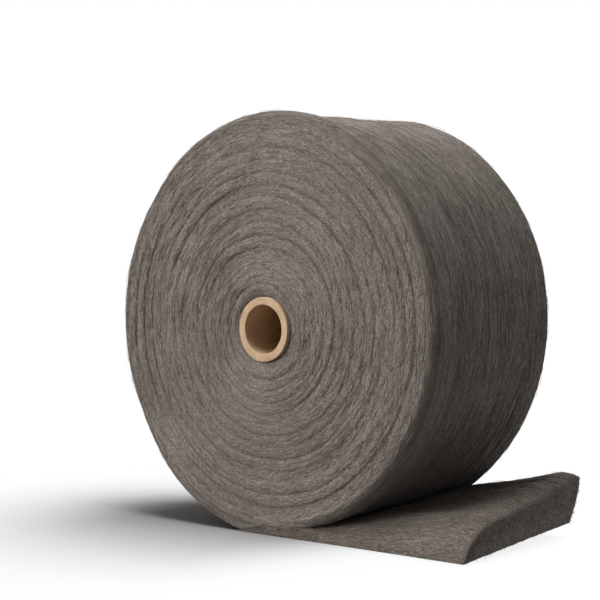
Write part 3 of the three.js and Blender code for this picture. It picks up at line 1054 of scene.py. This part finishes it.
def fill_wool(bench, scene):
    """Steel wool: fine light and dark strands along the ribbon, with painted shade in the grooves, folds and
    hollows, and a soft shine.
    """
    tints = scene.wool_finishes
    place = bench.add("ShaderNodeTexCoord").outputs["Object"]
    wander = bench.math("SUBTRACT", bench.noise(place, FIBRE_WANDER_SCALE), 0.5)
    wander = bench.add("ShaderNodeCombineXYZ", _2=bench.math("MULTIPLY", wander, FIBRE_WANDER)).outputs[0]
    lay = bench.vector("ADD", bench.attribute("lay", "Vector"), wander)
    hairs = bench.math("MULTIPLY", bench.strands(lay, HAIR_LAY), 1.0 - FLECK_SHARE)
    flecks = bench.math("MULTIPLY", bench.strands(lay, FLECK_LAY, FLECK_DETAIL), FLECK_SHARE)
    hairs = bench.math("ADD", hairs, flecks)
    fibres = bench.math("SUBTRACT", bench.threads(lay, LIGHT_FIBRE_LAY), bench.threads(lay, DARK_FIBRE_LAY))
    mixed = bench.math("ADD", hairs, bench.math("MULTIPLY", fibres, FIBRE_SHARE))
    colour = bench.blend("MIX", bench.range(mixed, *TONE_RANGE, 0.0, 1.0), tints.wool_dark, tints.wool_light)
    patch = bench.range(bench.noise(place, PATCH_SCALE, PATCH_DETAIL), *NOISE_RANGE, *PATCH_TONE)
    patch = bench.add("ShaderNodeCombineColor", _0=patch, _1=patch, _2=patch).outputs[0]
    colour = bench.blend("MULTIPLY", 1.0, colour, patch)
    # Painted shade that the meshes carry: grooves, folds, tread hollows, the free end's top and its cut
    colour = bench.blend("MULTIPLY", bench.attribute("groove"), colour, tints.groove_shade_tint)
    # Painted shade along the lines of the grooves and folds between and within the turns
    seam = bench.add("ShaderNodeSeparateXYZ", Vector=bench.attribute("seam", "Vector")).outputs
    sway = bench.noise(place, SWAY_SCALE, PATCH_DETAIL, SWAY_ROUGH)
    sway = bench.math("MULTIPLY_ADD", sway, SWAY, -0.5 * SWAY)
    gap = bench.math("PINGPONG", bench.math("ADD", seam[0], sway), 0.5)
    line = bench.range(gap, 0.0, LINE_WIDTH, 1.0, 0.0, "SMOOTHSTEP")
    fold = bench.range(gap, 0.5, 0.5 - FOLD_WIDTH, 1.0, 0.0, "SMOOTHSTEP")
    line, fold = bench.math("MULTIPLY", line, seam[1]), bench.math("MULTIPLY", fold, seam[2])
    lines = bench.math("MAXIMUM", line, bench.math("MULTIPLY", fold, FOLD_TINT))
    colour = bench.blend("MULTIPLY", lines, colour, tints.groove_shade_tint)
    height = bench.math("SUBTRACT", mixed, lines)
    rough = bench.range(hairs, *NOISE_RANGE, *WOOL_ROUGH)
    bump = bench.add("ShaderNodeBump", Strength=WOOL_BUMP, Distance=WOOL_BUMP_HEIGHT, Height=height)
    return bench.add(
        "ShaderNodeBsdfPrincipled", Base_Color=colour, Roughness=rough, Metallic=tints.wool_metal,
        Specular_IOR_Level=WOOL_SPECULAR, Sheen_Weight=WOOL_SHEEN, Sheen_Roughness=WOOL_SHEEN_ROUGH,
        Normal=bump.outputs[0],
    )


def fill_board(bench, scene):
    """Cardboard: pale paper with fine fibres, darker along its plies and its seam, with painted shade deep in
    the bore.
    """
    tints = scene.wool_finishes
    place = bench.add("ShaderNodeTexCoord").outputs["Object"]
    fibres = bench.noise(place, PAPER_SCALE, PAPER_DETAIL, PAPER_NOISE_ROUGH)
    clouds = bench.noise(place, CLOUD_SCALE, PAPER_DETAIL, CLOUD_NOISE_ROUGH)
    mixed = bench.math("ADD", bench.math("MULTIPLY", fibres, 0.5), bench.math("MULTIPLY", clouds, 0.5))
    tone = bench.range(mixed, *BOARD_TONE, 0.0, 1.0)
    colour = bench.blend("MIX", tone, tints.board_dark, tints.board_light)
    lines = bench.math("MULTIPLY", bench.attribute("ply"), PLY_TINT)
    colour = bench.blend("MIX", lines, colour, tints.board_dark)
    # Painted shade deep in the bore
    colour = bench.blend("MULTIPLY", bench.attribute("bore_shade"), colour, tints.bore_shade_tint)
    rough = bench.range(fibres, *NOISE_RANGE, *BOARD_ROUGH)
    bump = bench.add("ShaderNodeBump", Strength=BOARD_BUMP, Distance=BOARD_BUMP_HEIGHT, Height=mixed)
    return bench.add("ShaderNodeBsdfPrincipled", Base_Color=colour, Roughness=rough, Normal=bump.outputs[0])


def seen_ray(bench):
    """1 for a ray that shows the stage itself, straight or in a shine."""
    path = bench.add("ShaderNodeLightPath").outputs
    shine = bench.math("MAXIMUM", path["Is Glossy Ray"], path["Is Transmission Ray"])
    return bench.math("MAXIMUM", path["Is Camera Ray"], shine)


def fill_floor(bench, scene):
    """A pale floor that keeps the shadow near the roll and fades into the white background."""
    stage = scene.wool_stage
    place = bench.add("ShaderNodeNewGeometry").outputs["Position"]
    away = bench.add("ShaderNodeVectorMath", {"operation": "LENGTH"}, _0=place).outputs["Value"]
    ahead = bench.add("ShaderNodeSeparateXYZ", Vector=place).outputs[0]
    fade = bench.math(
        "MAXIMUM",
        bench.range(away, *FLOOR_FADE, 0.0, 1.0, "SMOOTHSTEP"),
        bench.range(ahead, *FRONT_FADE, 0.0, FRONT_WHITE, "SMOOTHSTEP"),
    )
    seen = seen_ray(bench)
    colour = bench.blend("MIX", seen, stage.floor_bounce, stage.floor_tint)
    cloth = bench.add("ShaderNodeBsdfDiffuse", Color=colour).outputs[0]
    white = bench.add("ShaderNodeEmission", Color=WHITE, Strength=1.0).outputs[0]
    return bench.add("ShaderNodeMixShader", _0=bench.math("MULTIPLY", fade, seen), _1=cloth, _2=white)


def make_floor(scene):
    """A flat floor, just under the roll."""
    mesh = bpy.data.meshes.new("floor")
    corners = [((2 * i - 1) * FLOOR_HALF, (2 * j - 1) * FLOOR_HALF, 0.0) for i, j in FACE_CORNERS]
    mesh.from_pydata(corners, [], [list(range(len(corners)))])
    mesh.materials.append(finish(scene, "pale_floor", fill_floor))
    floor = bpy.data.objects.new("floor", mesh)
    floor.location.z = -FLOOR_SINK
    scene.collection.objects.link(floor)
    return floor


def add_facing(scene, name, data, right, back, place):
    """A lamp or camera at a place, which looks away from its back."""
    item = bpy.data.objects.new(name, data)
    scene.collection.objects.link(item)
    up = np.cross(back, right)
    rows = [[right[i], up[i], back[i], place[i]] for i in range(3)]
    item.matrix_world = Matrix(rows + [[0, 0, 0, 1]])
    return item


def make_lamp(scene, name, watts, lamp):
    """A square soft lamp that faces the middle of the roll."""
    data = bpy.data.lights.new(name, "AREA")
    data.energy = watts
    data.size, place = lamp
    back = np.array(place) - np.array(LAMP_TARGET)
    back = back / np.linalg.norm(back)
    right = np.cross((0.0, 0.0, 1.0), back)
    return add_facing(scene, name, data, right / np.linalg.norm(right), back, place)


def share_light(target, name, lamps, state):
    """Lets lamps light only the target, or all but the target."""
    group = bpy.data.collections.new(name)
    group.objects.link(target)
    group.collection_objects[0].light_linking.link_state = state
    for lamp in lamps:
        lamp.light_linking.receiver_collection = group


def make_stage(scene):
    """Floor, lamps, even sky light and camera."""
    stage = scene.wool_stage
    scene.view_settings.view_transform = "Standard"
    floor = make_floor(scene)
    key_lamp = make_lamp(scene, "key_lamp", stage.key_power, KEY_LAMP)
    top_lamp = make_lamp(scene, "top_lamp", stage.top_power, TOP_LAMP)
    floor_lamp = make_lamp(scene, "floor_lamp", stage.floor_power, FLOOR_LAMP)
    share_light(floor, "lit_floor", [floor_lamp], "INCLUDE")
    share_light(floor, "unlit_floor", [key_lamp, top_lamp], "EXCLUDE")
    scene.world = bpy.data.worlds.new("white_sky")
    scene.world.use_nodes = True
    bench = NodeBench(scene.world.node_tree)
    level = bench.range(seen_ray(bench), 0.0, 1.0, stage.sky, 1.0)
    sky = bench.add("ShaderNodeBackground", Color=WHITE, Strength=level)
    bench.add("ShaderNodeOutputWorld", Surface=sky.outputs[0])
    data = bpy.data.cameras.new("camera")
    data.sensor_width = SENSOR_WIDTH
    data.lens = stage.lens
    turn, tilt = stage.camera_turn, stage.camera_tilt
    right = np.array((math.cos(turn), math.sin(turn), 0.0))
    back = np.array((math.sin(turn) * math.cos(tilt), -math.cos(turn) * math.cos(tilt), math.sin(tilt)))
    scene.camera = add_facing(scene, "camera", data, right, back, stage.camera_place)


class STEELWOOL_OT_wind_ribbon(Operator):
    """Wind the ribbon of steel wool into the roll"""

    bl_idname = "steel_wool.wind_ribbon"
    bl_label = "Wind Ribbon"

    def execute(self, context):
        make_wound_body(context.scene)
        return {"FINISHED"}


class STEELWOOL_OT_lay_free_end(Operator):
    """Lay the free end of the ribbon on the floor"""

    bl_idname = "steel_wool.lay_free_end"
    bl_label = "Lay Free End"

    def execute(self, context):
        make_free_end(context.scene)
        return {"FINISHED"}


class STEELWOOL_OT_tease_strands(Operator):
    """Tease loose strands out of the end faces, the tread and the free end"""

    bl_idname = "steel_wool.tease_strands"
    bl_label = "Tease Strands"

    def execute(self, context):
        scene = context.scene
        sizes = scene.wool_strands
        make_face_strands(scene, "front_strands", -1.0, sizes.front_count, SEED_FRONT)
        make_face_strands(scene, "back_strands", 1.0, sizes.back_count, SEED_BACK)
        make_tread_strands(scene)
        make_tail_strands(scene)
        make_cut_strands(scene)
        return {"FINISHED"}


class STEELWOOL_OT_roll_core(Operator):
    """Make the cardboard tube in the middle of the roll"""

    bl_idname = "steel_wool.roll_core"
    bl_label = "Roll Core Tube"

    def execute(self, context):
        make_core_tube(context.scene)
        return {"FINISHED"}


class STEELWOOL_OT_set_stage(Operator):
    """Set the floor, the lamps and the camera"""

    bl_idname = "steel_wool.set_stage"
    bl_label = "Set Stage"

    def execute(self, context):
        make_stage(context.scene)
        return {"FINISHED"}


SETTINGS = {
    "wool_winding": WindingSizes,
    "wool_free_end": FreeEndSizes,
    "wool_strands": StrandSizes,
    "wool_core": CoreSizes,
    "wool_finishes": Finishes,
    "wool_stage": StageSizes,
}
OPERATORS = (
    STEELWOOL_OT_wind_ribbon,
    STEELWOOL_OT_lay_free_end,
    STEELWOOL_OT_tease_strands,
    STEELWOOL_OT_roll_core,
    STEELWOOL_OT_set_stage,
)


class STEELWOOL_PT_panel(Panel):
    """The steel wool roll's pieces and their settings"""

    bl_idname = "STEELWOOL_PT_panel"
    bl_label = "Steel Wool Roll"
    bl_space_type = "VIEW_3D"
    bl_region_type = "UI"
    bl_category = "Steel Wool"

    def draw(self, context):
        layout = self.layout
        for operator in OPERATORS:
            layout.operator(operator.bl_idname)
        for name, group in SETTINGS.items():
            box = layout.box()
            box.label(text=group.__doc__.rstrip("."))
            for field in group.__annotations__:
                box.prop(getattr(context.scene, name), field)


CLASSES = (*SETTINGS.values(), *OPERATORS, STEELWOOL_PT_panel)


def register():
    for item in CLASSES:
        bpy.utils.register_class(item)
    for name, group in SETTINGS.items():
        setattr(bpy.types.Scene, name, PointerProperty(type=group))


def unregister():
    for name in SETTINGS:
        delattr(bpy.types.Scene, name)
    for item in reversed(CLASSES):
        bpy.utils.unregister_class(item)


def main():
    register()
    bpy.ops.steel_wool.wind_ribbon()
    bpy.ops.steel_wool.lay_free_end()
    bpy.ops.steel_wool.tease_strands()
    bpy.ops.steel_wool.roll_core()
    bpy.ops.steel_wool.set_stage()


if __name__ == "__main__":
    main()
